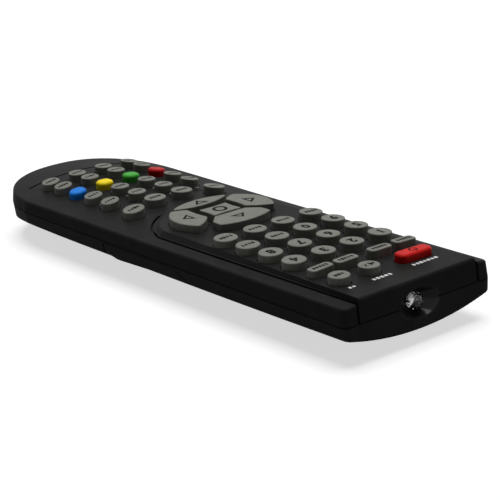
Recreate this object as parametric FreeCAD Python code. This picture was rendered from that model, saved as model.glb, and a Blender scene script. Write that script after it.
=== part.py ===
import FreeCAD, Part
import math
import os

V = FreeCAD.Vector
os.makedirs("parts", exist_ok=True)

# Case: overall size, parting height, crowned deck and belly (mm)
body_len = 176.8
body_wid = 55.8
part_z = 11.65
deck_ir_z = 18.6
deck_user_z = 17.5
deck_slope_len = 110.0
deck_crown_r = 192.0
deck_end_drop = 0.8
deck_end_len = 55.0
belly_edge_z = 7.85
belly_edge_rise = 1.1
belly_ir_z = 3.8
belly_user_z = 3.2
belly_dip = 0.6
belly_ir_len = 52.0
belly_user_len = 53.0
end_len = 31.5
end_power = 2.45
corner_r = 2.0
side_draft = 0.1
foot_draft = 0.12
face_lean = 0.085
deck_edge_r = 0.8
face_edge_r = 1.0
belly_edge_r = 1.0
reveal_h = 0.3
reveal_depth = 0.5

# Case walls and the lip along the parting line
deck_t = 1.5
side_t = 1.8
belly_t = 1.5
lip_t = 0.9
lip_h = 1.4
lip_gap = 0.12

# Raised flat panel of the deck and the black groove round it
panel_half = 22.3
panel_len = 84.0
panel_end = 18.65
panel_bevel = 1.8
panel_rise = 0.05
groove_w = 0.9
groove_depth = 0.9
groove_len = 100.8
end_groove_y = 161.6
end_groove_half = 20.2
end_groove_r = 83.0
end_groove_w = 0.8
end_groove_depth = 0.7
slot_x = 13.8
slot_y = 112.6
slot_len = 3.3
slot_w = 0.6
slot_turn = 45.0

# Keys: rise above the deck, travel, clearances
key_rise = 2.45
key_travel = 0.8
key_gap = 0.25
key_draft = 0.02
key_edge_r = 0.3
stop_gap = 0.15
mat_gap = 0.3

# Key columns (from the centre line) and rows (from the infrared face)
digit_x = (5.46, 16.5)
digit_rows = (32.2, 42.2, 52.2, 62.1)
digit_r = 3.55
mode_x = (6.4, 15.9)
mode_y = 22.0
mode_size = (8.0, 3.6, 1.3)
top_y = 13.2
top_r = 3.12
mute_x = 5.85
source_x = 17.0
power_x = -11.1
power_size = (12.2, 4.8, 2.0)
arc_x = (5.25, 15.96)
arc_y = (110.6, 107.5)
arc_r = 3.4
small_x = (5.27, 15.85)
small_rows = {"row_a": 120.0, "row_b": 128.9, "row_c": 145.5, "row_d": 152.6}
small_r = 2.9
colour_y = 137.4
colour_size = (5.4, 5.2, 2.3)
soft_edge_r = 0.9
flat_tilt = (0.7, 2.3)
crown_tilt = (2.0, 10.0)

# Navigation cluster: an oval cut into four keys round a square one
nav_y = 84.1
nav_half = (17.3, 13.7)
ok_drop = 0.9
ok_size = (10.8, 7.9)
ok_hollow = 0.45
nav_corner_r = 0.6
up_corners = ((-9.9, 16.0), (-9.5, 7.4), (-5.9, 3.8), (5.9, 3.8), (9.5, 7.4), (9.9, 16.0))
down_arc = ((-11.9, -11.5), (0.0, -7.9), (11.9, -11.5))
side_upper_arc = ((-16.0, 7.9), (-10.8, 5.3), (-7.4, 2.2))
side_inner_arc = ((-7.4, 2.2), (-7.75, -2.5), (-7.4, -7.2))
side_lower_arc = ((-7.4, -7.2), (-9.4, -8.75), (-14.5, -9.8))

# Infrared emitter and its dished recess
led_r = 2.5
led_len = 8.6
led_flange_r = 2.9
led_flange_t = 1.0
led_gap = 0.2
led_lead = 0.5
led_pitch = 2.54
led_reach = 3.6
dish_half = (7.75, 4.45)
dish_depth = 3.4
dish_over = 1.2
dish_floor_r = 2.95
housing_half = 9.6
housing_depth = 6.4
housing_h = 5.9

# Circuit board and rubber sheet
board_t = 1.0
board_z = 12.7
board_side_gap = 1.4
board_front = 7.0
board_back = 159.0
board_corner = 12.0
mat_t = 0.7
mat_margin = 2.0
mat_front = 8.0
mat_back = 157.0
mat_corner = 9.0
chip_size = (10.0, 7.5, 1.6)
crystal_size = (4.0, 9.0, 2.6)
capacitor_r = 2.2
capacitor_len = 5.6
chip_y = 45.0
crystal_at = (12.0, 46.0)
capacitor_at = (-14.0, 30.0)

# Battery bay, cells, contacts and cover
seam_y = 107.9
cell_r = 5.2
cell_len = 44.5
cell_nub_r = 1.9
cell_nub_len = 1.0
cell_gap = 0.6
bay_gap = 0.25
bay_wall = 1.1
bay_roof = 0.6
contact_t = 0.4
contact_w = 8.0
contact_h = 8.0
tab_w = 2.4
spring_len = 4.8
spring_wire = 0.6
spring_r = 3.1
spring_turns = 3
seam_gap = 0.18
seam_slack = 0.4
cover_t = 1.1
cover_skin = 1.0
cover_top = 0.95
cover_side = ((31.0, 0.0), (36.5, 1.0), (41.0, 3.2), (46.0, 6.4))
cover_end_drop = 10.3
ridge_h = 0.55
ridge_len = 16.0
ridge_ramp = 3.0
ridge_gap = 1.2
ridge_step = 1.5

ir_y = body_len / 2 - face_lean * (deck_ir_z - belly_ir_z)
end_y = -body_len / 2
half_wid = body_wid / 2
board_half = half_wid - side_t - lip_gap - lip_t - board_side_gap
mat_half = board_half - mat_margin
TOP = deck_ir_z + 12
BIG = body_len + body_wid


def box(x0, x1, y0, y1, z0, z1):
    return Part.makeBox(x1 - x0, y1 - y0, z1 - z0, V(x0, y0, z0))


def from_ir(distance):
    return ir_y - distance


def face_y(z):
    """The infrared face leans forward from the deck to its foot."""
    return ir_y + face_lean * (deck_ir_z - z)


def crest(y):
    """Height of the deck on the centre line."""
    run = max(0.0, 1 - (ir_y - y) / deck_slope_len)
    back = max(0.0, 1 - (y - end_y) / deck_end_len)
    return deck_user_z + (deck_ir_z - deck_user_z) * run ** 1.25 - deck_end_drop * back ** 1.6


def deck_at(x, y, on_panel=False):
    """Height of the deck, or of the flat panel, under a key."""
    if on_panel:
        return crest(y) + panel_rise
    return crest(y) - (deck_crown_r - math.sqrt(deck_crown_r ** 2 - x ** 2))


def belly(y):
    """Height of the belly on the centre line, before it is cut flat to stand on."""
    front = max(0.0, 1 - (ir_y - y) / belly_ir_len)
    back = max(0.0, 1 - (y - end_y) / belly_user_len)
    rise = (belly_ir_z + belly_dip) * front ** 1.6 + (belly_user_z + belly_dip) * back ** 1.6
    return rise - belly_dip


def belly_edge(y):
    """Height of the belly at the sides, higher towards the user."""
    back = max(0.0, 1 - (y - end_y) / belly_user_len)
    return belly_edge_z + belly_edge_rise * back ** 1.6


def crowned(top_lift, belly_lift):
    """The space between the crowned deck and the crowned belly, wider than the case."""
    reach = half_wid + 2.5
    wires = []
    for i in range(9):
        y = ir_y + 6 - i * (body_len + 12) / 8
        low = belly(y)
        sag = belly_edge(y) - low
        r = (half_wid ** 2 + sag ** 2) / (2 * sag)
        low_edge = low + r - math.sqrt(r ** 2 - reach ** 2)
        high = crest(y)
        high_edge = high - deck_crown_r + math.sqrt(deck_crown_r ** 2 - reach ** 2)
        a = V(-reach, y, low_edge + belly_lift)
        b = V(reach, y, low_edge + belly_lift)
        c = V(reach, y, high_edge + top_lift)
        d = V(-reach, y, high_edge + top_lift)
        edges = [Part.Arc(a, V(0, y, low + belly_lift), b).toShape(),
                 Part.LineSegment(b, c).toShape(),
                 Part.Arc(c, V(0, y, high + top_lift), d).toShape(),
                 Part.LineSegment(d, a).toShape()]
        wires.append(Part.Wire(edges))
    return Part.makeLoft(wires, True, False)


def end_curve(half, y_side, depth, z, power):
    """A rounded end from one side to the other, square to both sides."""
    points = []
    steps = 16
    for i in range(steps + 1):
        t = math.pi * (i / steps - 0.5)
        sx = math.copysign(abs(math.sin(t)) ** (2 / power), t)
        points.append(V(-half * sx, y_side - depth * math.cos(t) ** (2 / power), z))
    curve = Part.BSplineCurve()
    curve.interpolate(Points=points, InitialTangent=V(0, -1, 0), FinalTangent=V(0, 1, 0))
    return curve.toShape()


def plan(inset, z):
    """Outline of the case at a height, drawn in by inset. The sides are widest at the parting."""
    draft = side_draft * (z - part_z) if z > part_z else foot_draft * (part_z - z)
    half = half_wid - inset - draft
    yf = face_y(z) - inset
    ys = end_y + end_len
    r = corner_r
    k = r * (1 - math.sqrt(0.5))
    arc_l = Part.Arc(V(-half, yf - r, z), V(-half + k, yf - k, z), V(-half + r, yf, z)).toShape()
    arc_r_ = Part.Arc(V(half - r, yf, z), V(half - k, yf - k, z), V(half, yf - r, z)).toShape()
    edges = [arc_l,
             Part.LineSegment(V(-half + r, yf, z), V(half - r, yf, z)).toShape(),
             arc_r_,
             Part.LineSegment(V(half, yf - r, z), V(half, ys, z)).toShape(),
             end_curve(-half, ys, end_len - inset - draft, z, end_power),
             Part.LineSegment(V(-half, ys, z), V(-half, yf - r, z)).toShape()]
    return Part.Wire(edges)


def prism(inset, z0, z1):
    """The sides of the case between two heights, drawn in by inset."""
    levels = [z0, part_z, z1] if z0 < part_z < z1 else [z0, z1]
    return Part.makeLoft([plan(inset, z) for z in levels], True, True)


def panel_wire(half_front, half_back, depth, z, over):
    """Outline of the raised panel: open at the infrared face, rounded towards the user."""
    yp = from_ir(panel_len)
    yf = ir_y + over
    edges = [Part.LineSegment(V(-half_back, yp, z), V(-half_front, yf, z)).toShape(),
             Part.LineSegment(V(-half_front, yf, z), V(half_front, yf, z)).toShape(),
             Part.LineSegment(V(half_front, yf, z), V(half_back, yp, z)).toShape(),
             end_curve(-half_back, yp, depth, z, 2.0)]
    return Part.Wire(edges)


def rounded_rect(w, h, r, z):
    half = Part.makeBox(w, h, 1, V(-w / 2, -h / 2, z))
    edges = [e for e in half.Edges if abs(e.BoundBox.ZLength - 1) < 1e-6]
    solid = half.makeFillet(r, edges)
    return [f for f in solid.Faces if f.BoundBox.ZLength < 1e-6 and abs(f.BoundBox.ZMin - z) < 1e-6][0]


def top_face(shape):
    return max((f for f in shape.Faces if f.normalAt(0.5, 0.5).z > 0.9),
               key=lambda f: f.CenterOfMass.z)


keys = {}
holes = []
mat_holes = []
mat_z = board_z + board_t
key_foot = mat_z + key_travel + stop_gap


def tilted_cut(x, y, z, tilt, sign):
    """Everything above a plane through the key's top, leaning outwards."""
    block = box(-20, 20, -20, 20, 0, 20)
    block.rotate(V(0, 0, 0), V(0, 1, 0), sign * tilt)
    block.translate(V(x, y, z))
    return block


def finish_key(name, solid, x, y, z, tilt, edge_r):
    sign = 1 if x > 0 else -1
    solid = solid.cut(tilted_cut(x, y, z, tilt, sign))
    solid = solid.makeFillet(edge_r, top_face(solid).Edges)
    keys[name] = solid


def round_key(name, x, y, r, tilt, on_panel, edge_r=None):
    z = deck_at(x, y, on_panel) + key_rise
    high = z + r - key_foot
    foot_r = r + (z - key_foot) * key_draft
    solid = Part.makeCone(foot_r, foot_r - high * key_draft, high, V(x, y, key_foot))
    finish_key(name, solid, x, y, z, tilt, edge_r or key_edge_r)
    holes.append(Part.makeCylinder(foot_r + key_gap, TOP, V(x, y, key_foot - 1)))
    mat_holes.append(Part.makeCylinder(foot_r + mat_gap, mat_t + 2, V(x, y, mat_z - 1)))


def block_key(name, x, y, size, tilt, on_panel, edge_r=None):
    w, h, r = size
    z = deck_at(x, y, on_panel) + key_rise
    high = z + 3 - key_foot
    face = rounded_rect(w, h, r, key_foot)
    solid = face.extrude(V(0, 0, high))
    solid.translate(V(x, y, 0))
    finish_key(name, solid, x, y, z, tilt, edge_r or key_edge_r)
    hole = rounded_rect(w + 2 * key_gap, h + 2 * key_gap, r + key_gap, key_foot - 1).extrude(V(0, 0, TOP))
    hole.translate(V(x, y, 0))
    holes.append(hole)
    gap = 2 * mat_gap
    cut = rounded_rect(w + gap, h + gap, r + mat_gap, mat_z - 1).extrude(V(0, 0, mat_t + 2))
    cut.translate(V(x, y, 0))
    mat_holes.append(cut)


# Top row: wide power key, mute key and source key
block_key("key_power", power_x, from_ir(top_y), power_size, flat_tilt[0], True, soft_edge_r)
round_key("key_mute", mute_x, from_ir(top_y), top_r, flat_tilt[0], True)
round_key("key_source", source_x, from_ir(top_y), top_r, flat_tilt[1], True)


def columns(xs):
    """The four columns from the user's left to the user's right."""
    return [(-xs[1], 1), (-xs[0], 0), (xs[0], 0), (xs[1], 1)]


# Second row: four oblong mode keys
for i, (x, outer) in enumerate(columns(mode_x)):
    block_key("key_mode_%d" % (i + 1), x, from_ir(mode_y), mode_size, flat_tilt[outer], True)

# Number rows and the row of menu keys below them
digit_names = ["1", "2", "3", "4", "5", "6", "7", "8", "9", "0", "list_1", "list_2",
               "menu_1", "menu_2", "menu_3", "menu_4"]
for n, name in enumerate(digit_names):
    x, outer = columns(digit_x)[n % 4]
    round_key("key_" + name, x, from_ir(digit_rows[n // 4]), digit_r, flat_tilt[outer], True)

# Row of four larger keys on an arc below the navigation cluster
for i, (x, outer) in enumerate(columns(arc_x)):
    round_key("key_arc_%d" % (i + 1), x, from_ir(arc_y[outer]), arc_r, crown_tilt[outer], False)

# Four rows of small keys
for row, distance in small_rows.items():
    for i, (x, outer) in enumerate(columns(small_x)):
        name = "key_%s_%d" % (row, (i + 1))
        round_key(name, x, from_ir(distance), small_r, crown_tilt[outer], False)

# Row of four coloured keys with soft edges
for i, colour in enumerate(("red", "green", "yellow", "blue")):
    x, outer = columns(small_x)[i]
    block_key("key_" + colour, x, from_ir(colour_y), colour_size, crown_tilt[outer], False, soft_edge_r)


# Navigation keys: the oval is cut by an outline for each direction
def nav_faces(grow):
    """Outlines of the keys round the oval's centre, each drawn out by grow."""
    oval = Part.Ellipse(V(0, 0, 0), nav_half[0] + grow, nav_half[1] + grow)
    oval = Part.Face(Part.Wire(oval.toShape()))

    def flat(points):
        return [V(px, py, 0) for px, py in points]

    def cut_out(edges):
        wire = Part.Wire(edges)
        if grow:
            wire = wire.makeOffset2D(grow, 2)
        return Part.Face(wire)

    def arc(points):
        return Part.Arc(*flat(points)).toShape()

    up = Part.makePolygon(flat(up_corners + up_corners[:1])).Edges
    low = -nav_half[1] - 3
    down = [arc(down_arc)] + Part.makePolygon(flat([down_arc[2], (down_arc[2][0], low),
                                                    (down_arc[0][0], low), down_arc[0]])).Edges
    far = -nav_half[0] - 3
    left = [arc(side_upper_arc), arc(side_inner_arc), arc(side_lower_arc)]
    left += Part.makePolygon(flat([side_lower_arc[2], (far, side_lower_arc[2][1]),
                                   (far, side_upper_arc[0][1]), side_upper_arc[0]])).Edges
    w, h = ok_size[0] / 2 + grow, ok_size[1] / 2 + grow
    corners = flat([(-w, -h - ok_drop), (w, -h - ok_drop), (w, h - ok_drop), (-w, h - ok_drop)])
    middles = flat([(0, -h - ok_drop + ok_hollow), (w - ok_hollow, -ok_drop),
                    (0, h - ok_drop - ok_hollow), (-w + ok_hollow, -ok_drop)])
    sides = [Part.Arc(corners[i], middles[i], corners[(i + 1) % 4]).toShape() for i in range(4)]
    return {"up": oval.common(cut_out(up)), "down": oval.common(cut_out(down)),
            "left": oval.common(cut_out(left)), "ok": Part.Face(Part.Wire(sides))}


def mirrored(shape):
    return shape.mirror(V(0, 0, 0), V(1, 0, 0))


nav_c = V(0, from_ir(nav_y), 0)
nav_top = deck_at(0, nav_c.y, True) + key_rise
nav_high = nav_top - key_foot
grown_hole = nav_faces(key_gap)
grown_mat = nav_faces(mat_gap)
for name, outline in nav_faces(0).items():
    outline.translate(nav_c + V(0, 0, key_foot))
    solid = outline.extrude(V(0, 0, nav_high)).Solids[0]
    uprights = [e for e in solid.Edges if abs(e.Length - nav_high) < 1e-4]
    solid = solid.makeFillet(nav_corner_r, uprights)
    centre = outline.CenterOfMass
    finish_key("key_" + name, solid, centre.x, centre.y, nav_top, 0.0, key_edge_r)
    hole = grown_hole[name].extrude(V(0, 0, TOP)).Solids[0]
    hole.translate(nav_c + V(0, 0, key_foot - 1))
    holes.append(hole)
    cut = grown_mat[name].extrude(V(0, 0, mat_t + 2)).Solids[0]
    cut.translate(nav_c + V(0, 0, mat_z - 1))
    mat_holes.append(cut)
    if name == "left":
        keys["key_right"] = mirrored(keys["key_left"])
        holes.append(mirrored(hole))
        mat_holes.append(mirrored(cut))

# Recess round the infrared emitter, cut half in each shell
led_z = part_z
led_y = face_y(led_z)


def ring_wire(curve, y):
    """A closed curve stood upright, centred on the emitter's axis."""
    wire = Part.Wire(curve.toShape())
    wire.rotate(V(0, 0, 0), V(1, 0, 0), 90)
    wire.translate(V(0, y, led_z))
    return wire


def along_y(r, length, distance):
    """A cylinder on the emitter's axis, its rear end at a distance from the infrared face."""
    return Part.makeCylinder(r, length, V(0, led_y - distance, led_z), V(0, 1, 0))


flare = [half + (half - dish_floor_r) * dish_over / dish_depth for half in dish_half]
dish_mouth = Part.Ellipse(V(0, 0, 0), flare[0], flare[1])
dish_floor = Part.Circle(V(0, 0, 0), V(0, 0, 1), dish_floor_r)
dish_rings = [ring_wire(dish_mouth, led_y + dish_over), ring_wire(dish_floor, led_y - dish_depth)]
dish = Part.makeLoft(dish_rings, True, True)
led_hole = along_y(led_r + led_gap, led_len, led_len)
flange_hole = along_y(led_flange_r + led_gap, led_len, 2 * led_len - led_flange_t - led_gap)


def housing(z0, z1):
    block = box(-housing_half, housing_half, from_ir(housing_depth), ir_y + side_t, z0, z1)
    return block.common(prism(side_t / 2, z0, z1))


# Upper shell: crowned deck, raised flat panel, grooves and key holes
upper = crowned(0, 0).common(prism(0, part_z, TOP))
edge = [e for e in upper.Edges if e.BoundBox.ZMin > part_z + 2]
upper = upper.makeFillet(deck_edge_r, edge)

below_edge = 0.3
lowest = crest(from_ir(panel_len)) - (crest(0) - deck_at(panel_half, 0)) - below_edge
highest = deck_ir_z + 0.4
slope = panel_bevel / (panel_half ** 2 / (2 * deck_crown_r) + panel_rise)
run = slope * (highest - lowest - below_edge)
panel_low = panel_wire(panel_half, panel_half, panel_end, lowest, 1)
panel_high = panel_wire(panel_half - 0.2, panel_half - run, panel_end - run, highest, 1)
bevel = Part.makeLoft([panel_low, panel_high], True, True)
profile_y = [ir_y + 2 - i * 12 for i in range(10)]
profile = [V(0, y, crest(y) + panel_rise) for y in profile_y]
line = Part.BSplineCurve()
line.interpolate(profile)
foot = [profile[-1], V(0, profile[-1].y, part_z + 1), V(0, profile[0].y, part_z + 1), profile[0]]
under = Part.Face(Part.Wire([line.toShape()] + Part.makePolygon(foot).Edges)).extrude(V(2 * half_wid, 0, 0))
under.translate(V(-half_wid, 0, 0))
raised = bevel.common(under).common(prism(0, part_z, TOP))
front = [e for e in raised.Edges if e.BoundBox.YMin > ir_y - 0.5 and e.BoundBox.ZMin > crest(ir_y) - 0.5]
raised = raised.makeFillet(face_edge_r, front)
upper = upper.fuse(raised)

cavity = crowned(-deck_t, 0).common(prism(side_t, part_z - 1, TOP))
upper = upper.cut(cavity)
upper = upper.fuse(housing(part_z, part_z + housing_h))

ring = Part.Face(panel_wire(panel_half + groove_w, panel_half + groove_w, panel_end + groove_w, part_z, 2))
ring = ring.extrude(V(0, 0, TOP))
ring = ring.cut(Part.Face(panel_wire(panel_half, panel_half, panel_end, part_z, 3)).extrude(V(0, 0, TOP)))
ring = ring.common(box(-half_wid, half_wid, from_ir(groove_len), ir_y + 1, 0, TOP))
face_slot = ring.cut(prism(groove_depth, part_z - 1, TOP))
floor = crowned(-groove_depth, 0)
ring = ring.cut(floor)

groove_c = V(0, from_ir(end_groove_y) + end_groove_r, 0)
bow = box(-end_groove_half, end_groove_half, end_y, from_ir(end_groove_y) + 12, part_z, TOP)
bow = bow.common(Part.makeCylinder(end_groove_r + end_groove_w / 2, TOP, groove_c))
bow = bow.cut(Part.makeCylinder(end_groove_r - end_groove_w / 2, TOP, groove_c))
bow = bow.cut(crowned(-end_groove_depth, 0))

cuts = [ring, face_slot, bow]
for sign in (-1, 1):
    slot = box(-slot_len / 2, slot_len / 2, -slot_w / 2, slot_w / 2, part_z, TOP)
    slot.rotate(V(0, 0, 0), V(0, 0, 1), sign * slot_turn)
    slot.translate(V(sign * slot_x, from_ir(slot_y), 0))
    cuts.append(slot.cut(floor))
top_case = upper.cut(cuts + holes + [dish, led_hole, flange_hole])

# Circuit board with its soldered parts
def plate(half, front, back, corner, z0, t):
    w, h = 2 * half, back - front
    solid = box(-half, half, from_ir(back), from_ir(front), z0, z0 + t)
    rear = [e for e in solid.Edges if abs(e.BoundBox.ZLength - t) < 1e-6 and e.BoundBox.YMax < 0]
    return solid.makeFillet(corner, rear)


led_clear = along_y(led_flange_r + mat_gap, led_len + mat_gap, led_len + mat_gap)
lead_y = led_y - led_len - led_reach
lead_holes = [Part.makeCylinder(led_lead, 4, V(s * led_pitch / 2, lead_y, board_z - 1)) for s in (-1, 1)]
board = plate(board_half, board_front, board_back, board_corner, board_z, board_t)
board = board.cut([led_clear] + lead_holes)
chip = Part.makeBox(chip_size[0], chip_size[1], chip_size[2],
                    V(-chip_size[0] / 2, from_ir(chip_y), board_z - chip_size[2]))
crystal = Part.makeBox(crystal_size[0], crystal_size[1], crystal_size[2],
                       V(crystal_at[0], from_ir(crystal_at[1]), board_z - crystal_size[2]))
capacitor_foot = V(capacitor_at[0], from_ir(capacitor_at[1]), board_z - capacitor_len)
capacitor = Part.makeCylinder(capacitor_r, capacitor_len, capacitor_foot)
soldered = [board, chip, crystal, capacitor]

# Rubber sheet that carries the keys, with an opening under each
keypad_mat = plate(mat_half, mat_front, mat_back, mat_corner, mat_z, mat_t).cut(mat_holes + [led_clear])

# Infrared emitter: clear dome, flange and two bent leads
bulb = along_y(led_r, led_len - led_r - led_flange_t, led_len - led_flange_t)
bulb = bulb.fuse(Part.makeSphere(led_r, V(0, led_y - led_r, led_z)))
bulb = bulb.fuse(along_y(led_flange_r, led_flange_t, led_len))
h = led_lead / 2
for s in (-1, 1):
    x = s * led_pitch / 2
    bulb = bulb.fuse(box(x - h, x + h, lead_y - h, led_y - led_len + 0.5, led_z - h, led_z + h))
    bulb = bulb.fuse(box(x - h, x + h, lead_y - h, lead_y + h, led_z - h, mat_z))
ir_led = bulb.removeSplitter()

# Battery bay, measured from the seam of the cover towards the infrared end
bay_y0 = from_ir(seam_y) + seam_gap + 0.4
bay_len = cell_len + spring_len + 2 * contact_t + bay_gap
bay_y1 = bay_y0 + bay_len
cell_x = cell_r + cell_gap / 2
bay_half = cell_x + cell_r + bay_gap
roof_z = board_z - 0.15 - bay_roof
cell_z = roof_z - bay_gap - cell_r


# Cover outline from the side: straight up at the seam, then a curve down to the belly
def cover_zone(grow, slack=0.0):
    """What the cover takes out of the lower shell, drawn out by grow, and at the seam by slack."""
    y0 = from_ir(seam_y)
    top = part_z - cover_top
    points = [(y0 + along, top - drop) for along, drop in cover_side]
    points.append((y0 + bay_len + bay_wall + 0.5, top - cover_end_drop))
    points.append((points[-1][0] + 2.0, -3.0))
    curve = [V(0, py + grow, pz + grow) for py, pz in points]
    spline = Part.BSplineCurve()
    spline.interpolate(Points=curve, InitialTangent=V(0, 1, 0), FinalTangent=V(0, 0.5, -1))
    a = V(0, y0 - grow - slack, curve[0].z)
    b = V(0, y0 - grow - slack, -3.0)
    edges = [spline.toShape(), Part.LineSegment(curve[-1], b).toShape(),
             Part.LineSegment(b, a).toShape(), Part.LineSegment(a, curve[0]).toShape()]
    solid = Part.Face(Part.Wire(edges)).extrude(V(BIG, 0, 0))
    solid.translate(V(-BIG / 2, 0, 0))
    return solid


# Lower shell: crowned belly, flat strip to stand on, bay and window for the cover
lower = crowned(0, 0).common(prism(0, 0, part_z))
edge = [e for e in lower.Edges if belly_edge_z - 2 < e.BoundBox.ZMax < part_z - 1]
outer = lower.makeFillet(belly_edge_r, edge)


def inside(belly_lift, inset):
    return crowned(0, belly_lift).common(prism(inset, belly_lift, part_z + 5))


below_parting = box(-BIG, BIG, -BIG, BIG, -1, part_z)
zone = cover_zone(seam_gap, seam_slack)
backing = cover_zone(seam_gap + cover_skin)
skin = cover_t + seam_gap
room = inside(belly_t, side_t)
lining = backing.common(room).cut(inside(skin + cover_skin, skin + cover_skin)).common(below_parting)
shell = outer.cut(room).fuse(lining)
bay_block = box(-bay_half - bay_wall, bay_half + bay_wall, bay_y0 - bay_wall, bay_y1 + bay_wall,
                0, roof_z + bay_roof)
bay_low = bay_block.common(outer)
bay_high = bay_block.common(box(-BIG, BIG, -BIG, BIG, part_z - 1, TOP))
shell = shell.fuse([bay_low, bay_high, housing(part_z - housing_h, part_z).common(outer)])
lip = prism(side_t + lip_gap, part_z - lip_h, part_z + lip_h)
lip = lip.fuse(prism(side_t - lip_gap, part_z - lip_h, part_z))
lip = lip.cut(prism(side_t + lip_gap + lip_t, part_z - 2 * lip_h, TOP))
lip = lip.cut(box(-BIG, BIG, from_ir(housing_depth + 1.5), BIG, 0, TOP))
reveal = prism(-1, part_z - reveal_h, part_z).cut(prism(reveal_depth, 0, TOP))
shell = shell.fuse(lip).cut(reveal)
window = zone.cut(inside(skin, skin))
bay_room = box(-bay_half, bay_half, bay_y0, bay_y1, -1, roof_z)
tab_cuts = []
for s in (-1, 1):
    tab_cuts.append(box(s * cell_x - tab_w / 2 - bay_gap, s * cell_x + tab_w / 2 + bay_gap,
                        bay_y1 - contact_t - bay_gap, bay_y1, roof_z - 1, TOP))
bottom_case = shell.cut([window, bay_room, dish, led_hole, flange_hole] + tab_cuts)

# Cover: the piece of skin that fills the window, with a finger ridge near the seam
cover = cover_zone(0).common(outer).cut(inside(cover_t, cover_t))
ridge_y0 = from_ir(seam_y) + ridge_gap
ridge_y1 = ridge_y0 + ridge_len
ridge = prism(ridge_gap, 0, part_z)
for foot_y, slope in ((ridge_y1 + ridge_step, ridge_h / ridge_len), (ridge_y0, -ridge_h / ridge_ramp)):
    tilted = crowned(0, 0)
    tilted.rotate(V(0, foot_y, belly_edge_z / 2), V(1, 0, 0), math.degrees(math.atan(slope)))
    ridge = ridge.common(tilted)
ridge = ridge.common(box(-BIG, BIG, ridge_y0, ridge_y1, 0, belly_edge_z))
ridge = ridge.cut(crowned(0, cover_t / 2))
cover = cover.fuse(ridge)

# Cells lie side by side, one turned round
battery_cells = []
for s in (-1, 1):
    x = s * cell_x
    nub_up = s > 0
    y0 = bay_y0 + contact_t + (spring_len if nub_up else 0) + bay_gap / 2
    body_y = y0 if nub_up else y0 + cell_nub_len
    body = Part.makeCylinder(cell_r, cell_len - cell_nub_len, V(x, body_y, cell_z), V(0, 1, 0))
    rims = [e for e in body.Edges if isinstance(e.Curve, Part.Circle)]
    body = body.makeFillet(0.4, rims)
    nub_y = y0 + cell_len - cell_nub_len - 0.2 if nub_up else y0
    nub = Part.makeCylinder(cell_nub_r, cell_nub_len + 0.2, V(x, nub_y, cell_z), V(0, 1, 0))
    battery_cells.append(body.fuse(nub))


# Contact springs: one unbroken tube each, drawn along arcs that run on into each other
def biarc(p, tp, q, tq):
    v = q - p
    t = tp + tq
    k = 2 * (1 - tp.dot(tq))
    b = v.dot(t)
    d = (-b + math.sqrt(b * b + k * v.dot(v))) / k
    m1 = p + tp * d
    m2 = q - tq * d
    joint = (m1 + m2) * 0.5
    edges = []
    for start, corner, finish in ((p, m1, joint), (joint, m2, q)):
        chord = (start + finish) * 0.5
        reach_ = (start - corner).Length
        half_chord = (start - chord).Length
        to_chord = chord - corner
        cos_a = to_chord.Length / reach_
        centre_far = reach_ / cos_a
        radius = centre_far * half_chord / reach_
        middle = corner + to_chord * ((centre_far - radius) / to_chord.Length)
        edges.append(Part.Arc(start, middle, finish).toShape())
    return edges


def spring(x, y_plate, direction):
    """A coil from the contact plate towards the cell's flat end."""
    clear = spring_wire / 2 + 0.05
    pitch = (spring_len - 2 * clear) / spring_turns
    y_start = y_plate + direction * clear

    def point(t):
        a = 2 * math.pi * t
        y = y_start + direction * pitch * t
        return V(x + spring_r * math.cos(a), y, cell_z + spring_r * math.sin(a))

    def tangent(t):
        a = 2 * math.pi * t
        speed = 2 * math.pi * spring_r
        return V(-speed * math.sin(a), direction * pitch, speed * math.cos(a)).normalize()

    edges = []
    steps = 4 * spring_turns
    first = point(0) - tangent(0) * spring_wire
    edges.append(Part.LineSegment(first, point(0)).toShape())
    for i in range(steps):
        t0, t1 = i / 4, (i + 1) / 4
        edges += biarc(point(t0), tangent(t0), point(t1), tangent(t1))
    last = point(spring_turns)
    edges.append(Part.LineSegment(last, last + tangent(spring_turns) * spring_wire).toShape())
    path = Part.Wire(edges)
    circle_ = Part.Wire(Part.Circle(first, tangent(0), spring_wire / 2).toShape())
    coil = path.makePipeShell([circle_], True, False)
    dots = path.discretize(Number=40 * spring_turns)
    gap = 99.0
    far = int(len(dots) * 0.6 / spring_turns)
    for i in range(len(dots)):
        for j in range(i + far, len(dots)):
            gap = min(gap, (dots[i] - dots[j]).Length - spring_wire)
    print("spring: least gap to itself %.2f mm, volume %.3f of section times length"
          % (gap, coil.Volume / (math.pi * spring_wire ** 2 / 4 * path.Length)))
    return coil


def contact_plate(x0, x1, y0, tab_x=None):
    z0 = cell_z - contact_h / 2
    solid = box(x0, x1, y0, y0 + contact_t, z0, cell_z + contact_h / 2)
    if tab_x is not None:
        solid = solid.fuse(box(tab_x - tab_w / 2, tab_x + tab_w / 2, y0, y0 + contact_t, cell_z, board_z))
    return solid


plate_y0 = bay_y0
plate_y1 = bay_y1 - contact_t
battery_contacts = [
    contact_plate(-cell_x - contact_w / 2, cell_x + contact_w / 2, plate_y0),
    contact_plate(-cell_x - contact_w / 2, -cell_x + contact_w / 2, plate_y1, -cell_x),
    contact_plate(cell_x - contact_w / 2, cell_x + contact_w / 2, plate_y1, cell_x),
    spring(cell_x, plate_y0 + contact_t, 1),
    spring(-cell_x, plate_y1, -1),
]

nodes = {
    "top_case": [top_case],
    "bottom_case": [bottom_case],
    "battery_cover": [cover],
    "circuit_board": soldered,
    "keypad_mat": [keypad_mat],
    "ir_led": [ir_led],
    "battery_cells": battery_cells,
    "battery_contacts": battery_contacts,
}
for name, solid in keys.items():
    nodes[name] = [solid]

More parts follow.
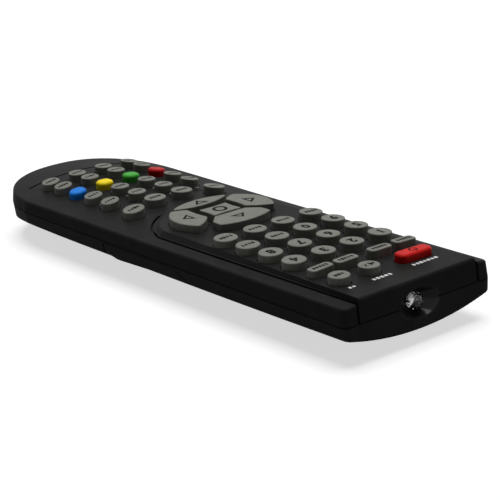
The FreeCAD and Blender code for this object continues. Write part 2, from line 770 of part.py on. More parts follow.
for name, solids in nodes.items():
    clean = []
    for s in solids:
        clean += s.Solids
    shape = clean[0] if len(clean) == 1 else Part.makeCompound(clean)
    shape.exportStep("parts/%s.step" % name)
    if len(clean) != len(solids) or not shape.isValid():
        print("look at", name, len(clean), "solids, valid:", shape.isValid())
bounds = Part.makeCompound([s for solids in nodes.values() for s in solids]).optimalBoundingBox(False)
print("nodes", len(nodes), "size %.2f x %.2f x %.2f" % (bounds.XLength, bounds.YLength, bounds.ZLength),
      "from z %.3f" % bounds.ZMin)
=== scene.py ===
import math

import bmesh
import bpy
from mathutils import Matrix, Vector
from mathutils.bvhtree import BVHTree


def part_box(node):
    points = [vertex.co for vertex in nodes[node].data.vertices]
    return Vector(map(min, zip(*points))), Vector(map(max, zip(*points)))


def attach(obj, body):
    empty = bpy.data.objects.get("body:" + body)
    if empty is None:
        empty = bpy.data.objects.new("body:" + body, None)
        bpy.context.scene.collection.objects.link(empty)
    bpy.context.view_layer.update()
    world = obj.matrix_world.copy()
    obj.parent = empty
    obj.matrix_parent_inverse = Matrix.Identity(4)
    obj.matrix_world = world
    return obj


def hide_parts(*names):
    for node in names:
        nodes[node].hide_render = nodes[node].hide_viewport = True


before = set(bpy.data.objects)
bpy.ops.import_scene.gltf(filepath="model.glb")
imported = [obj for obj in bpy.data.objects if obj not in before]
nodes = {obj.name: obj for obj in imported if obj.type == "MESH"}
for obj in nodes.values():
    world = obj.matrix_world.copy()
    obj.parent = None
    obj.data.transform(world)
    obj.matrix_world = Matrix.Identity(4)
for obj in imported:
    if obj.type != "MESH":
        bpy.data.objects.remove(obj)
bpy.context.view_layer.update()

# Shells: two halves of injected plastic and the battery cover. Black with a fine spark
# texture from the mould, so they hardly shine; only the dish round the emitter is
# polished. The halves snap together along the parting line.
MM = 0.001
shell_black = (0.014, 0.0142, 0.0138)
shell_rough = 0.46
shell_gloss = 0.018
# The lower shell and the battery cover are the same black as the upper shell, painted about a
# quarter lighter: painted light on their sides and on the infrared end.
shell_plastics_painted_lighter = {"top_case": ("upper_shell_plastic", 1.0),
                  "bottom_case": ("lower_shell_plastic", 1.25),
                  "battery_cover": ("cover_shell_plastic", 1.28)}
cloud_size = 9.0 * MM
cloud_depth = 0.12
emitter_low, emitter_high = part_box("ir_led")
emitter_axis = Vector((0, emitter_high[1], (emitter_low[2] + emitter_high[2]) / 2))
dish_reach = (7.8 * MM, 4.2 * MM, 4.5 * MM)
dish_rough = 0.3
dish_fade = 0.92
polish = 0.24
polish_rough = 0.12
polish_fade = 0.97


def new_material(name, rough, specular=0.5):
    """A Principled material, its node tree and its shader."""
    material = bpy.data.materials.new(name)
    material.use_nodes = True
    shader = material.node_tree.nodes["Principled BSDF"]
    shader.inputs["Roughness"].default_value = rough
    shader.inputs["Specular IOR Level"].default_value = specular
    return material, material.node_tree, shader


def place_on(tree):
    """Object coordinates."""
    return tree.nodes.new("ShaderNodeTexCoord").outputs["Object"]


def object_noise(tree, size, detail=2.0):
    """Noise of one size in metres on object coordinates."""
    noise = tree.nodes.new("ShaderNodeTexNoise")
    noise.inputs["Scale"].default_value = 1.0 / size
    noise.inputs["Detail"].default_value = detail
    tree.links.new(place_on(tree), noise.inputs["Vector"])
    return noise.outputs["Fac"]


def spread(tree, value, low, high, to_low=0.0, to_high=1.0):
    """The value between low and high runs from to_low to to_high."""
    span = tree.nodes.new("ShaderNodeMapRange")
    span.inputs["From Min"].default_value = low
    span.inputs["From Max"].default_value = high
    span.inputs["To Min"].default_value = to_low
    span.inputs["To Max"].default_value = to_high
    tree.links.new(value, span.inputs["Value"])
    return span.outputs["Result"]


def colour_steps(tree, value, steps, sharp=False):
    """A colour for each position of the value."""
    ramp = tree.nodes.new("ShaderNodeValToRGB")
    ramp.color_ramp.interpolation = "CONSTANT" if sharp else "LINEAR"
    while len(ramp.color_ramp.elements) < len(steps):
        ramp.color_ramp.elements.new(1.0)
    for element, (position, colour) in zip(ramp.color_ramp.elements, steps):
        element.position = position
        element.color = (*colour, 1)
    tree.links.new(value, ramp.inputs["Fac"])
    return ramp.outputs["Color"]


def mottle(tree, shader, size, dark, light, dark_until=0.3):
    """The colour wanders from dark to light in patches of one size."""
    steps = [(dark_until, dark), (1 - dark_until, light)]
    tint = colour_steps(tree, object_noise(tree, size), steps)
    tree.links.new(tint, shader.inputs["Base Color"])


def add_bump(tree, shader, value, height, strength):
    """The surface rises with the value, by up to the height."""
    bump = tree.nodes.new("ShaderNodeBump")
    bump.inputs["Distance"].default_value = height
    bump.inputs["Strength"].default_value = strength
    tree.links.new(value, bump.inputs["Height"])
    tree.links.new(bump.outputs["Normal"], shader.inputs["Normal"])


def add_grain(tree, shader, size, height, strength, detail=2.0):
    """A fine grain, its size and height in metres."""
    add_bump(tree, shader, object_noise(tree, size, detail), height, strength)


def shade(colour, share):
    """The colour times a share."""
    return tuple(c * share for c in colour)


def shell_material(name, share):
    """Black plastic with sparks all over and a polished dish round the emitter; the share
    paints the black lighter, as painted light.
    """
    material, tree, shader = new_material(name, shell_rough, shell_gloss)
    dark = shade(shell_black, (1 - cloud_depth) * share)
    light = shade(shell_black, (1 + cloud_depth) * share)
    mottle(tree, shader, cloud_size, dark, light, dark_until=0.35)
    centred = tree.nodes.new("ShaderNodeMapping")
    centred.vector_type = "TEXTURE"
    centred.inputs["Location"].default_value = emitter_axis
    centred.inputs["Scale"].default_value = dish_reach
    tree.links.new(place_on(tree), centred.inputs["Vector"])
    away = tree.nodes.new("ShaderNodeVectorMath")
    away.operation = "LENGTH"
    tree.links.new(centred.outputs["Vector"], away.inputs[0])
    reached = away.outputs["Value"]
    rough = spread(tree, reached, dish_fade, 1.0, dish_rough, shell_rough)
    tree.links.new(rough, shader.inputs["Roughness"])
    tree.links.new(spread(tree, reached, polish_fade, 1.0, polish, 0.0),
                   shader.inputs["Coat Weight"])
    shader.inputs["Coat Roughness"].default_value = polish_rough
    add_grain(tree, shader, size=0.22 * MM, height=0.012 * MM, strength=0.55)
    return material


def dress(node, material):
    """A CAD node keeps its shape and gets this material."""
    for place in nodes[node].material_slots:
        place.material = material


for node, (name, share) in shell_plastics_painted_lighter.items():
    dress(node, shell_material(name, share))

# Cells: two standard cells side by side, the second one turned round. Drawn steel cans
# in a plain shrink sleeve with one darker band; the bare ends and nubs are bright.
sleeve_grey = (0.34, 0.35, 0.37)
band_blue = (0.016, 0.05, 0.13)
can_steel = (0.62, 0.61, 0.59)
sleeve_margin = 0.9 * MM
nub_length = 1.0 * MM
band_share = 0.3


def separate(tree, vector):
    """The three parts of a vector."""
    split = tree.nodes.new("ShaderNodeSeparateXYZ")
    tree.links.new(vector, split.inputs[0])
    return split.outputs


def reckon(tree, operation, first, second):
    """One sum or comparison of two sockets or numbers."""
    node = tree.nodes.new("ShaderNodeMath")
    node.operation = operation
    for socket, value in zip(node.inputs, (first, second)):
        if isinstance(value, (int, float)):
            socket.default_value = value
        else:
            tree.links.new(value, socket)
    return node.outputs[0]


def side_reach(node, sign):
    """Lowest and highest y of a node's points on one side of the middle."""
    along = [v.co.y for v in nodes[node].data.vertices if v.co.x * sign > 0]
    return min(along), max(along)


cell_paint, tree, shader = new_material("cell_sleeve_and_can", rough=0.34)
x, y, _ = separate(tree, place_on(tree))
_, turned_high = side_reach("battery_cells", -1)
plain_low, plain_high = side_reach("battery_cells", 1)
from_flat_end = tree.nodes.new("ShaderNodeMix")
tree.links.new(reckon(tree, "GREATER_THAN", x, 0.0), from_flat_end.inputs["Factor"])
tree.links.new(reckon(tree, "SUBTRACT", turned_high, y), from_flat_end.inputs["A"])
tree.links.new(reckon(tree, "SUBTRACT", y, plain_low), from_flat_end.inputs["B"])
can_length = plain_high - plain_low - nub_length
along_can = spread(tree, from_flat_end.outputs["Result"], 0.0, can_length)
edge = sleeve_margin / can_length
bands = [(0.0, can_steel), (edge, sleeve_grey), (1 - band_share, band_blue),
         (1 - edge, can_steel)]
can_colour = colour_steps(tree, along_can, bands, sharp=True)
tree.links.new(can_colour, shader.inputs["Base Color"])
past_start = reckon(tree, "GREATER_THAN", along_can, edge)
before_end = reckon(tree, "LESS_THAN", along_can, 1 - edge)
on_sleeve = reckon(tree, "MULTIPLY", past_start, before_end)
tree.links.new(reckon(tree, "SUBTRACT", 1.0, on_sleeve), shader.inputs["Metallic"])
add_grain(tree, shader, size=0.5 * MM, height=0.01 * MM, strength=0.3)
dress("battery_cells", cell_paint)

# Contacts: stamped strips and coiled springs of nickel-plated spring steel, pushed into
# slots of the battery bay. The plating is a little uneven, with a fine grain.
nickel_dark = (0.56, 0.54, 0.49)
nickel_light = (0.66, 0.65, 0.6)
contact_metal, tree, shader = new_material("nickel_plated_steel", rough=0.27)
shader.inputs["Metallic"].default_value = 1.0
mottle(tree, shader, 1.6 * MM, nickel_dark, nickel_light)
add_grain(tree, shader, size=0.12 * MM, height=0.006 * MM, strength=0.5, detail=4.0)
dress("battery_contacts", contact_metal)

# Circuit board: one-sided paper laminate with a green lacquer and copper tracks, and
# three soldered parts on its underside: a chip, a ceramic resonator and a capacitor.
board_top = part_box("circuit_board")[1][2]
board_thick = 1.0 * MM
lacquer_thick = 0.04 * MM
solder_gap = 0.05 * MM
track_pitch = 2.2 * MM
track_width = 0.06
track_length = 3.4
track_row = 0.55
track_offset = 0.35
track_height = 0.035 * MM
lacquer_green = (0.012, 0.085, 0.03)
track_green = (0.03, 0.17, 0.055)
laminate_tan = (0.26, 0.17, 0.075)
chip_black = (0.012, 0.012, 0.013)
resonator_tan = (0.42, 0.23, 0.06)
capacitor_blue = (0.018, 0.03, 0.075)
parts_split = 8.0 * MM


def paint_over(tree, share, under, over):
    """One colour where the share is 0, the other where it is 1."""
    mix = tree.nodes.new("ShaderNodeMix")
    mix.data_type = "RGBA"
    tree.links.new(share, mix.inputs["Factor"])
    for socket, value in ((mix.inputs[6], under), (mix.inputs[7], over)):
        if isinstance(value, tuple):
            socket.default_value = (*value, 1)
        else:
            tree.links.new(value, socket)
    return mix.outputs[2]


board_paint, tree, shader = new_material("board_laminate_and_parts", rough=0.42,
                                         specular=0.45)
x, _, z = separate(tree, place_on(tree))
tracks = tree.nodes.new("ShaderNodeTexBrick")
tracks.offset = track_offset
tracks.inputs["Scale"].default_value = 1.0 / track_pitch
tracks.inputs["Mortar Size"].default_value = track_width
tracks.inputs["Brick Width"].default_value = track_length
tracks.inputs["Row Height"].default_value = track_row
tracks.inputs["Color1"].default_value = (*lacquer_green, 1)
tracks.inputs["Color2"].default_value = (*lacquer_green, 1)
tracks.inputs["Mortar"].default_value = (*track_green, 1)
tree.links.new(place_on(tree), tracks.inputs["Vector"])
across = spread(tree, x, -2 * parts_split, 2 * parts_split)
parts = [(0.0, capacitor_blue), (0.25, chip_black), (0.75, resonator_tan)]
parts_paint = colour_steps(tree, across, parts, sharp=True)
under_skin = reckon(tree, "LESS_THAN", z, board_top - lacquer_thick)
below = reckon(tree, "LESS_THAN", z, board_top - board_thick - solder_gap)
skin = paint_over(tree, under_skin, tracks.outputs["Color"], laminate_tan)
tree.links.new(paint_over(tree, below, skin, parts_paint), shader.inputs["Base Color"])
add_bump(tree, shader, tracks.outputs["Fac"], track_height, strength=0.6)
dress("circuit_board", board_paint)

# Emitter: a 5 mm infrared diode. Clear cast epoxy with a flange, round a plated lead
# frame with a cup for the chip; the legs bend up through the board and are soldered.
lens_r = 2.5 * MM
lens_length = 8.6 * MM
lens_round = 64
dome_steps = 16
flange_r = 2.9 * MM
flange_t = 1.0 * MM
flange_edge = 0.1 * MM
leg_w = 0.5 * MM
leg_bend = 0.5 * MM
leg_pitch = 2.54 * MM
leg_setback = 1.2 * MM
mitre_limit = 0.5
silver_dark = (0.42, 0.415, 0.4)
silver_light = (0.62, 0.61, 0.59)
cup_r = 1.25 * MM
cup_back_r = 0.9 * cup_r
cup_mouth_r = 0.86 * cup_r
cup_floor_r = 0.45 * cup_r
cup_at = 3.6 * MM
cup_depth = 0.5 * MM
cup_rim = 0.8 * MM
cup_length = 0.9 * MM
cup_round = 40
chip_w = 0.35 * MM
chip_edge = 0.02 * MM
weld_within = 0.0005 * MM


def finished(name, bm, material, body, smooth=None):
    """A piece from a bmesh: doubles merged, faces outwards, on its body."""
    bmesh.ops.remove_doubles(bm, verts=bm.verts, dist=weld_within)
    bmesh.ops.recalc_face_normals(bm, faces=bm.faces)
    mesh = bpy.data.meshes.new(name)
    bm.to_mesh(mesh)
    bm.free()
    mesh.materials.append(material)
    if smooth is not None:
        mesh.shade_smooth()
        mesh.set_sharp_from_angle(angle=math.radians(smooth))
    piece = bpy.data.objects.new(name, mesh)
    bpy.context.scene.collection.objects.link(piece)
    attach(piece, body)
    return piece


def behind_tip(back, x=0.0):
    """A point a distance back from the emitter's tip."""
    return emitter_axis + Vector((x, -back, 0))


def turned(bm, profile, steps):
    """A closed body from (radius, distance back) pairs, round the emitter's axis."""
    rings = []
    for r, back in profile:
        if r == 0:
            rings.append([bm.verts.new(behind_tip(back))])
            continue
        ring = []
        for i in range(steps):
            a = 2 * math.pi * i / steps
            out = Vector((r * math.cos(a), 0, r * math.sin(a)))
            ring.append(bm.verts.new(behind_tip(back) + out))
        rings.append(ring)
    for a, b in zip(rings, rings[1:]):
        for i in range(steps):
            j = (i + 1) % steps
            corners = [a[i % len(a)], a[j % len(a)], b[j % len(b)], b[i % len(b)]]
            bm.faces.new(list(dict.fromkeys(corners)))


epoxy, tree, shader = new_material("clear_epoxy", rough=0.03)
shader.inputs["Base Color"].default_value = (0.93, 0.95, 1.0, 1)
shader.inputs["Transmission Weight"].default_value = 1.0
shader.inputs["IOR"].default_value = 1.54
add_grain(tree, shader, size=1.4 * MM, height=0.02 * MM, strength=0.25)
dome = []
for i in range(dome_steps + 1):
    a = math.radians(90 * i / dome_steps)
    dome.append((lens_r * math.sin(a), lens_r * (1 - math.cos(a))))
flange_at = lens_length - flange_t
rear = [(lens_r, flange_at), (flange_r - flange_edge, flange_at),
        (flange_r, flange_at + flange_edge), (flange_r, lens_length - flange_edge),
        (flange_r - flange_edge, lens_length), (0, lens_length)]
bm = bmesh.new()
turned(bm, dome + rear, lens_round)
lens = finished("emitter_lens", bm, epoxy, "case", smooth=30)

silver, tree, shader = new_material("silvered_lead_frame", rough=0.16)
shader.inputs["Metallic"].default_value = 1.0
mottle(tree, shader, 0.8 * MM, silver_dark, silver_light)
add_grain(tree, shader, size=0.2 * MM, height=0.01 * MM, strength=0.4)


def leg(bm, points, wide, thick):
    """A flat strip along points in a plane of constant x, mitred at its bends."""
    rings = []
    for i, p in enumerate(points):
        before = (p - points[i - 1]).normalized() if i else (points[1] - p).normalized()
        after = (points[i + 1] - p).normalized() if i + 1 < len(points) else before
        along = (before + after).normalized()
        out = along.cross(Vector((1, 0, 0)))
        out *= thick / 2 / max(mitre_limit, along.dot(before))
        side = Vector((wide / 2, 0, 0))
        rings.append([bm.verts.new(p + side + out), bm.verts.new(p - side + out),
                      bm.verts.new(p - side - out), bm.verts.new(p + side - out)])
    for a, b in zip(rings, rings[1:]):
        for i in range(4):
            j = (i + 1) % 4
            bm.faces.new((a[i], a[j], b[j], b[i]))
    bm.faces.new(rings[0])
    bm.faces.new(rings[-1][::-1])


back_y = emitter_low[1] + leg_w / 2
for name, sign, reach in (("emitter_leg_left", -1, cup_at),
                          ("emitter_leg_right", 1, cup_at - leg_setback)):
    x_leg = sign * leg_pitch / 2
    bend = Vector((x_leg, back_y + leg_bend, emitter_axis.z))
    corner = Vector((x_leg, back_y, emitter_axis.z + leg_bend))
    top = Vector((x_leg, back_y, board_top + leg_bend))
    bm = bmesh.new()
    leg(bm, [behind_tip(reach, x_leg), bend, corner, top], leg_w, leg_w)
    finished(name, bm, silver, "case")

cup_back = cup_at + cup_length
cup_floor = cup_at + cup_depth
bm = bmesh.new()
turned(bm, [(0, cup_back), (cup_back_r, cup_back), (cup_r, cup_at + cup_rim),
            (cup_r, cup_at), (cup_mouth_r, cup_at), (cup_floor_r, cup_floor),
            (0, cup_floor)], cup_round)
web = Matrix.Diagonal((leg_pitch / 2, cup_rim, leg_w, 1))
web_place = behind_tip(cup_at + cup_length / 2, -leg_pitch / 4)
bmesh.ops.create_cube(bm, size=1.0, matrix=Matrix.Translation(web_place) @ web)
finished("emitter_cup", bm, silver, "case", smooth=35)

chip_paint, tree, shader = new_material("emitter_chip", rough=0.4)
shader.inputs["Base Color"].default_value = (0.05, 0.04, 0.045, 1)
add_grain(tree, shader, size=0.1 * MM, height=0.005 * MM, strength=0.3)
bm = bmesh.new()
chip_place = Matrix.Translation(behind_tip(cup_floor - chip_w / 2))
bmesh.ops.create_cube(bm, size=chip_w, matrix=chip_place)
bmesh.ops.bevel(bm, geom=bm.edges[:], offset=chip_edge, segments=2, affect="EDGES")
finished("emitter_die", bm, chip_paint, "case")
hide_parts("ir_led")

# Keys: moulded silicone rubber, warm grey, matt, with a faint grain. Each one stands
# on the rubber sheet and comes up through its own hole in the upper shell. Power and
# one row of four are moulded in colours, a little smoother.
rubber_grey = (0.2, 0.2, 0.178)
rubber_rough = 0.6
rubber_gloss = 0.1
rubber_dark = 0.93
rubber_light = 1.05
sheet_grey = (0.022, 0.022, 0.021)
sheet_rough = 0.7
sheet_gloss = 0.15
coloured_rough = 0.5
key_colours = {
    "key_power": (0.6, 0.008, 0.006),
    "key_red": (0.45, 0.006, 0.007),
    "key_green": (0.05, 0.37, 0.04),
    "key_yellow": (0.98, 0.76, 0.012),
    "key_blue": (0.014, 0.22, 0.78),
}


def rubber_material(name, colour, rough, gloss):
    """Matt rubber, a little uneven in colour."""
    material, tree, shader = new_material(name, rough, gloss)
    mottle(tree, shader, 2.4 * MM, shade(colour, rubber_dark),
           shade(colour, rubber_light), dark_until=0.35)
    add_grain(tree, shader, size=0.35 * MM, height=0.01 * MM, strength=0.5)
    return material


dress("keypad_mat", rubber_material("sheet_rubber", sheet_grey, sheet_rough, sheet_gloss))
grey = rubber_material("key_rubber_grey", rubber_grey, rubber_rough, rubber_gloss)
coloured = {}
for name, colour in key_colours.items():
    rubber = name.replace("key_", "key_rubber_")
    coloured[name] = rubber_material(rubber, colour, coloured_rough, rubber_gloss)
key_names = [name for name in nodes if name.startswith("key_")]
for name in key_names:
    dress(name, coloured.get(name, grey))

# Key legends: pad-printed in black on each key's top before it gets its clear coat.
# Numbers, plain signs, and rows of strokes in the place of words. The sizes of the
# signs and of the strokes are in millimetres.
ink_thick = 0.03 * MM
ink_rough = 0.6
ink_gloss = 0.02
ink_black = (0.004, 0.004, 0.004)
ink_grey = (0.008, 0.008, 0.008)
red_ink_dark = (0.05, 0.003, 0.003)
red_ink_light = (0.07, 0.004, 0.004)
facing_up = 0.9
same_plane = 0.9999
digit_size = 4.2 * MM
digit_weight = 0.23 * MM
digit_curve = 8
arrow_foot = 0.55
arrow_tip = 0.75
arrow_inset = 2.3


def ink_material(name, rough, gloss, dark, light, patch=0.5 * MM):
    """Printed ink, a little uneven, with a faint grain."""
    material, tree, shader = new_material(name, rough, gloss)
    mottle(tree, shader, patch, dark, light)
    add_grain(tree, shader, size=0.2 * MM, height=0.004 * MM, strength=0.4)
    return material


ink = ink_material("legend_ink", ink_rough, ink_gloss, ink_black, ink_grey)
dark_red_ink = ink_material("legend_ink_on_red", ink_rough, ink_gloss,
                            red_ink_dark, red_ink_light)


def seat_at(place, up):
    """A frame at a place, with z out of the surface and y towards the infrared end."""
    across = Vector((1, 0, -up.x / up.z)).normalized()
    turn = Matrix((across, up.cross(across), up)).transposed().to_4x4()
    return Matrix.Translation(place) @ turn


def key_seat(name):
    """The middle of a key's top."""
    faces = nodes[name].data.polygons
    widest = max((f for f in faces if f.normal.z > facing_up), key=lambda f: f.area)
    up = widest.normal.copy()
    flat = [f for f in faces if f.normal.dot(up) > same_plane]
    total = sum(f.area for f in flat)
    middle = Vector((0, 0, 0))
    for f in flat:
        middle += f.center * (f.area / total)
    return seat_at(middle, up)


def plain_mesh(holder):
    """What an object looks like with its modifiers, as a bmesh; the object goes."""
    depsgraph = bpy.context.evaluated_depsgraph_get()
    mesh = bpy.data.meshes.new_from_object(holder.evaluated_get(depsgraph))
    bpy.data.objects.remove(holder)
    bm = bmesh.new()
    bm.from_mesh(mesh)
    bpy.data.meshes.remove(mesh)
    return bm


def printed(name, shape, seat, material, body):
    """A flat curve or text made a thin closed slab, half sunk in its seat."""
    holder = bpy.data.objects.new(name + "_outline", shape)
    bpy.context.scene.collection.objects.link(holder)
    bpy.context.view_layer.update()
    bm = plain_mesh(holder)
    bmesh.ops.transform(bm, matrix=seat, verts=bm.verts)
    return finished(name, bm, material, body)


def outline(loops):
    """A filled flat curve; a loop inside another is a hole."""
    shape = bpy.data.curves.new("outline", "CURVE")
    shape.dimensions = "2D"
    shape.fill_mode = "BOTH"
    shape.extrude = ink_thick / 2
    for loop in loops:
        spline = shape.splines.new("POLY")
        spline.points.add(len(loop) - 1)
        for point, (px, py) in zip(spline.points, loop):
            point.co = (px * MM, py * MM, 0, 1)
        spline.use_cyclic_u = True
    return shape


def arc_points(r, start, end, steps=48):
    """Points on a circle between two angles."""
    angles = [math.radians(start + (end - start) * i / steps) for i in range(steps + 1)]
    return [(r * math.cos(a), r * math.sin(a)) for a in angles]


def ring(r, stroke, start=0.0, end=360.0):
    """Loops of a ring, or of an open one between two angles."""
    outer = arc_points(r + stroke / 2, start, end)
    inner = arc_points(r - stroke / 2, start, end)
    if end - start >= 360:
        return [outer[:-1], inner[:-1]]
    return [outer + inner[::-1]]


def arrow(size, stroke):
    """Loops of an outlined triangle that points to +y."""
    foot, tip = -arrow_foot * size, arrow_tip * size
    outer = [(-size, foot), (size, foot), (0, tip)]
    share = 1 - arrow_inset * stroke / size
    centre = (2 * foot + tip) / 3
    inner = [(px * share, centre + (py - centre) * share) for px, py in outer]
    return [outer, inner]


for digit in range(10):
    name = "key_%d" % digit
    shape = bpy.data.curves.new(name, "FONT")
    shape.body = str(digit)
    shape.size = digit_size
    shape.offset = digit_weight
    shape.extrude = ink_thick / 2
    shape.align_x = "CENTER"
    shape.align_y = "CENTER"
    shape.resolution_u = digit_curve
    printed("legend_%d" % digit, shape, key_seat(name), ink, name + "_body")

for way, turn in {"up": 0, "left": 90, "down": 180, "right": 270}.items():
    name = "key_" + way
    seat = key_seat(name) @ Matrix.Rotation(math.radians(turn), 4, "Z")
    shape = outline(arrow(size=2.6, stroke=0.6))
    printed("legend_" + way, shape, seat, ink, name + "_body")

ok_sign = ring(r=1.9, stroke=1.0)
standby_bar = [(-0.25, 0.3), (0.25, 0.3), (0.25, 1.8), (-0.25, 1.8)]
standby_sign = ring(r=1.15, stroke=0.5, start=125, end=415) + [standby_bar]
speaker = [(-1.9, -0.5), (-1.1, -0.5), (-0.1, -1.3), (-0.1, 1.3), (-1.1, 0.5), (-1.9, 0.5)]
cross = [[(0.45, -0.75), (0.75, -1.0), (1.95, 0.75), (1.65, 1.0)],
         [(0.45, 0.75), (1.0, 0.15), (1.15, 0.35), (0.75, 1.0)],
         [(1.65, -1.0), (1.95, -0.75), (1.45, -0.1), (1.25, -0.35)]]
for way, sign, material, record_slot in (("ok", ok_sign, ink, "key_rubber"),
                                         ("power", standby_sign, dark_red_ink, "red_rubber"),
                                         ("mute", [speaker] + cross, ink, "key_rubber")):
    name = "key_" + way
    printed("legend_" + way, outline(sign), key_seat(name), material, name + "_body")

stroke_least = (0.62, 0.72, 1.0)
stroke_most = (1.12, 1.0, 1.0)


def linked(tree, kind, values):
    """A new node with these values and links in its inputs; its first output."""
    node = tree.nodes.new(kind)
    for label, value in values.items():
        if isinstance(value, bpy.types.NodeSocket):
            tree.links.new(value, node.inputs[label])
        else:
            node.inputs[label].default_value = value
    return node.outputs[0]


def stroke_tree(name, material):
    """Flat strokes side by side in a row round the middle, each a little different."""
    tree = bpy.data.node_groups.new(name, "GeometryNodeTree")
    sizes = {}
    for label, kind in (("Count", "NodeSocketInt"), ("Pitch", "NodeSocketFloat"),
                        ("Width", "NodeSocketFloat"), ("Height", "NodeSocketFloat"),
                        ("Thickness", "NodeSocketFloat"), ("Seed", "NodeSocketInt")):
        socket = tree.interface.new_socket(name=label, in_out="INPUT", socket_type=kind)
        sizes[label] = socket.identifier
    tree.interface.new_socket(name="Geometry", in_out="OUTPUT",
                              socket_type="NodeSocketGeometry")
    given = tree.nodes.new("NodeGroupInput").outputs
    gaps = reckon(tree, "SUBTRACT", given["Count"], 1.0)
    length = reckon(tree, "MULTIPLY", gaps, given["Pitch"])
    half_back = reckon(tree, "MULTIPLY", length, -0.5)
    start = linked(tree, "ShaderNodeCombineXYZ", {"X": half_back})
    step = linked(tree, "ShaderNodeCombineXYZ", {"X": given["Pitch"]})
    size = linked(tree, "ShaderNodeCombineXYZ",
                  {"X": given["Width"], "Y": given["Height"], "Z": given["Thickness"]})
    row = linked(tree, "GeometryNodeMeshLine",
                 {"Count": given["Count"], "Start Location": start, "Offset": step})
    stroke = linked(tree, "GeometryNodeMeshCube", {"Size": size})
    vary = tree.nodes.new("FunctionNodeRandomValue")
    vary.data_type = "FLOAT_VECTOR"
    vary.inputs[0].default_value = stroke_least
    vary.inputs[1].default_value = stroke_most
    tree.links.new(given["Seed"], vary.inputs["Seed"])
    many = linked(tree, "GeometryNodeInstanceOnPoints",
                  {"Points": row, "Instance": stroke, "Scale": vary.outputs[0]})
    real = linked(tree, "GeometryNodeRealizeInstances", {"Geometry": many})
    coated = linked(tree, "GeometryNodeSetMaterial", {"Geometry": real, "Material": material})
    tree.links.new(coated, tree.nodes.new("NodeGroupOutput").inputs["Geometry"])
    return tree, sizes, material


def stroke_row(name, strokes, seat, body, record_slot, count, pitch, width, height, seed):
    """A row of strokes made by the tree, laid on its seat."""
    tree, sizes, material = strokes
    holder = bpy.data.objects.new(name + "_row", bpy.data.meshes.new(name + "_row"))
    bpy.context.scene.collection.objects.link(holder)
    modifier = holder.modifiers.new("strokes", "NODES")
    modifier.node_group = tree
    values = {"Count": count, "Pitch": pitch * MM, "Width": width * MM,
              "Height": height * MM, "Thickness": ink_thick, "Seed": seed}
    for label, value in values.items():
        modifier[sizes[label]] = value
    bm = plain_mesh(holder)
    for face in bm.faces:
        face.material_index = 0
    bmesh.ops.transform(bm, matrix=seat, verts=bm.verts)
    return finished(name, bm, material, body)


dark_strokes = stroke_tree("dark_strokes", ink)
# count, pitch, width and height for each family of keys
worded = {"mode": (5, 1.15, 0.95, 1.6), "list": (4, 1.2, 0.98, 1.6),
          "menu": (4, 1.2, 0.98, 1.6), "arc": (4, 1.1, 0.9, 1.5),
          "row": (4, 1.0, 0.82, 1.35), "source": (3, 1.2, 0.98, 1.6)}
for seed, name in enumerate(key_names):
    family = name.split("_")[1]
    if family in worded:
        stroke_row("legend_" + name[4:], dark_strokes, key_seat(name), name + "_body",
                   "key_rubber", *worded[family], seed)

# Deck legends: white print on the upper shell ahead of the top row of keys and ahead of
# the small keys. Rows of strokes stand in the place of words, each a gap ahead of its
# key, with the count, pitch, width and height of its strokes.
print_rough = 0.5
print_gloss = 0.3
print_grey = (0.62, 0.62, 0.62)
print_white = (0.76, 0.76, 0.76)
word_prints = (("key_power", 2.2, (7, 1.42, 1.12, 1.5)),
               ("key_mute", 1.9, (5, 1.5, 1.15, 1.5)),
               ("key_source", 1.9, (2, 1.45, 1.1, 1.2)))
tick_columns = (("a", (1, 2, 3)), ("b", (2, 3, 4)))
tick_gap = 0.75
tick_row = (2, 0.7, 0.42, 0.42)
over_deck = 50.0 * MM
white_ink = ink_material("white_print", print_rough, print_gloss, print_grey, print_white,
                         patch=0.4 * MM)
white_strokes = stroke_tree("white_strokes", white_ink)
deck_points = [v.co.copy() for v in nodes["top_case"].data.vertices]
deck_faces = [tuple(p.vertices) for p in nodes["top_case"].data.polygons]
deck_tree = BVHTree.FromPolygons(deck_points, deck_faces)


def deck_print(name, gap, row, seed):
    """A row of white strokes on the deck, a gap ahead of a key."""
    low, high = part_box(name)
    above = Vector(((low[0] + high[0]) / 2, high[1] + gap * MM, over_deck))
    spot, up, _, _ = deck_tree.ray_cast(above, Vector((0, 0, -1)))
    stroke_row("print_" + name[4:], white_strokes, seat_at(spot, up), "case",
               "upper_shell", *row, seed)


for name, gap, row in word_prints:
    deck_print(name, gap, row, len(name))
for line, columns in tick_columns:
    for column in columns:
        deck_print("key_row_%s_%d" % (line, column), tick_gap, tick_row, column)

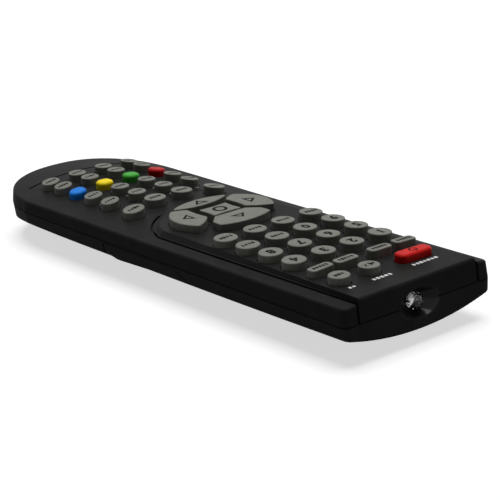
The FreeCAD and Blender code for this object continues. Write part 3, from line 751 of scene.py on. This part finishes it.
# Floor: one large pale sheet of paper just under the object. It keeps the object's
# shadow and reads as white to the camera.
floor_width = 6.0
floor_drop = 0.05 * MM
floor_grey = 0.5
floor_glow = 0.64
bpy.ops.mesh.primitive_plane_add(size=floor_width, location=(0, 0, -floor_drop))
floor = bpy.context.object
floor.name = "floor"
paper, tree, shader = new_material("floor_paper", rough=0.9, specular=0.1)
shader.inputs["Base Color"].default_value = (floor_grey, floor_grey, floor_grey, 1)
shader.inputs["Emission Color"].default_value = (1, 1, 1, 1)
path = tree.nodes.new("ShaderNodeLightPath").outputs
glow = reckon(tree, "MULTIPLY", path["Is Camera Ray"], floor_glow)
tree.links.new(glow, shader.inputs["Emission Strength"])
floor.data.materials.append(paper)

# World: white to the camera, to gloss and to glass, and dim to everything that it
# lights, so that the lamp shapes the object.
world_dim = 0.03
world = bpy.data.worlds.new("studio")
bpy.context.scene.world = world
world.use_nodes = True
tree = world.node_tree
back = tree.nodes["Background"]
back.inputs["Color"].default_value = (1, 1, 1, 1)
path = tree.nodes.new("ShaderNodeLightPath").outputs
direct = reckon(tree, "MAXIMUM", path["Is Camera Ray"], path["Is Glossy Ray"])
seen = reckon(tree, "MAXIMUM", direct, path["Is Transmission Ray"])
strength = spread(tree, seen, 0.0, 1.0, to_low=world_dim)
tree.links.new(strength, back.inputs["Strength"])

# Lamp: one broad soft lamp overhead, a little behind the user's end and to the far
# side, so that the near side stays darker than the deck.
lamp_strength = 2.7
lamp_width = math.radians(50)
lamp_tilt = (math.radians(9), math.radians(-10), 0)
sun = bpy.data.lights.new("overhead", "SUN")
sun.energy = lamp_strength
sun.angle = lamp_width
lamp = bpy.data.objects.new("overhead", sun)
lamp.rotation_euler = lamp_tilt
bpy.context.scene.collection.objects.link(lamp)

# Camera: at the photograph's angle, from the infrared end and to one side, about
# 19 degrees up, through a long lens.
camera_place = Vector((0.34375, 0.43702, 0.19587))
camera_aim = Vector((0.00357, 0.01996, 0.01193))
camera_roll = math.radians(-2.82)
camera_lens = bpy.data.cameras.new("camera")
camera_lens.lens = 137.9
camera_lens.sensor_width = 36.0
camera_lens.clip_start = 0.05
camera = bpy.data.objects.new("camera", camera_lens)
look = (camera_aim - camera_place).to_track_quat("-Z", "Y").to_matrix().to_4x4()
roll = Matrix.Rotation(camera_roll, 4, "Z")
camera.matrix_world = Matrix.Translation(camera_place) @ look @ roll
bpy.context.scene.collection.objects.link(camera)
bpy.context.scene.camera = camera
bpy.context.scene.view_settings.view_transform = "Standard"
